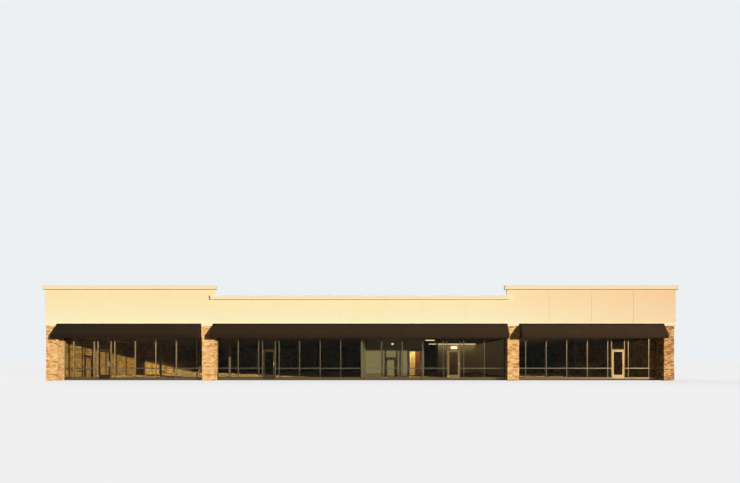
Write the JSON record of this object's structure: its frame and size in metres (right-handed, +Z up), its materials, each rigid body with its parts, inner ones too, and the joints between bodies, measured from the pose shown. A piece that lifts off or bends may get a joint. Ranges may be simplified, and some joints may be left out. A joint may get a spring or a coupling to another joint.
{
  "type": "single-storey strip store building, scale model at 1:2",
  "caption": "Single-storey strip store building: pale stucco fronts with cornices, stone piers, dark awnings and recessed glazed storefronts with hinged doors.",
  "frame": {"origin": "middle of the footprint, on the ground", "axes": "+X along the front to its right as seen from the street, +Y from the front to the back, +Z up"},
  "size_m": [23.089, 15.662, 3.455],
  "materials": {
    "concrete": "trowelled",
    "painted_block": "painted masonry",
    "coping_metal": "satin",
    "roof_membrane": "matt",
    "ceiling_tile": "matt",
    "column_paint": "satin",
    "office_paint": "matt paint",
    "ledgestone": "split face",
    "cast_stone": "rubbed",
    "stucco": "sand float",
    "trim_stucco": "fine float",
    "soffit_stucco": "fine float",
    "awning_tube": "mill",
    "awning_fabric": "woven acrylic",
    "anodised_frame": "anodised satin",
    "tinted_glass": "clear tint",
    "hinge_metal": "satin"
  },
  "bodies": {
    "building": {"floor_slab": "concrete", "left_wall": "painted_block", "right_wall": "painted_block", "rear_wall": "painted_block", "wall_copings": "coping_metal", "roof_deck": "roof_membrane", "ceiling": "ceiling_tile", "interior_columns": "column_paint", "office_side_partition": "office_paint", "office_back_partition": "office_paint", "store_room_walls": "office_paint", "shop_partition": "office_paint", "left_pier_outer": "ledgestone", "left_pier_inner": "ledgestone", "right_pier_inner": "ledgestone", "right_pier_outer": "ledgestone", "pier_ledges": "cast_stone", "left_fascia": "stucco", "middle_fascia": "stucco", "right_fascia": "stucco", "trim_band": "trim_stucco", "left_cornice": "trim_stucco", "middle_cornice": "trim_stucco", "right_cornice": "trim_stucco", "entrance_soffits": "soffit_stucco", "left_awning_frame": "awning_tube", "middle_awning_frame": "awning_tube", "right_awning_frame": "awning_tube", "left_awning_cover": "awning_fabric", "middle_awning_cover": "awning_fabric", "right_awning_cover": "awning_fabric", "left_storefront_outer": "anodised_frame", "left_storefront_inner": "anodised_frame", "middle_storefront_left": "anodised_frame", "middle_storefront_centre": "anodised_frame", "middle_storefront_right": "anodised_frame", "right_storefront_inner": "anodised_frame", "right_storefront_outer": "anodised_frame", "left_glass_outer": "tinted_glass", "left_glass_inner": "tinted_glass", "middle_glass_left": "tinted_glass", "middle_glass_centre": "tinted_glass", "middle_glass_right": "tinted_glass", "right_glass_inner": "tinted_glass", "right_glass_outer": "tinted_glass", "door_transoms": "anodised_frame", "transom_glass": "tinted_glass", "door_thresholds": "anodised_frame", "door_stops": "anodised_frame", "door_hinges": "hinge_metal"},
    "left_door": {"left_door_leaf": "anodised_frame", "left_door_glass": "tinted_glass"},
    "middle_left_door": {"middle_left_door_leaf": "anodised_frame", "middle_left_door_glass": "tinted_glass"},
    "middle_right_door": {"middle_right_door_leaf": "anodised_frame", "middle_right_door_glass": "tinted_glass"},
    "right_door": {"right_door_leaf": "anodised_frame", "right_door_glass": "tinted_glass"}
  },
  "joints": [
    {"name": "left_door_hinge", "type": "hinge", "parent": "building", "child": "left_door", "pos_m": [-9.7645, -7.194, 0.5], "axis": [0, 0, -1], "range_deg": [0, 90]},
    {"name": "middle_left_door_hinge", "type": "hinge", "parent": "building", "child": "middle_left_door", "pos_m": [-3.654, -7.194, 0.5], "axis": [0, 0, -1], "range_deg": [0, 90]},
    {"name": "middle_right_door_hinge", "type": "hinge", "parent": "building", "child": "middle_right_door", "pos_m": [3.204, -7.194, 0.5], "axis": [0, 0, -1], "range_deg": [0, 90]},
    {"name": "right_door_hinge", "type": "hinge", "parent": "building", "child": "right_door", "pos_m": [9.3145, -7.194, 0.5], "axis": [0, 0, -1], "range_deg": [0, 90]}
  ]
}
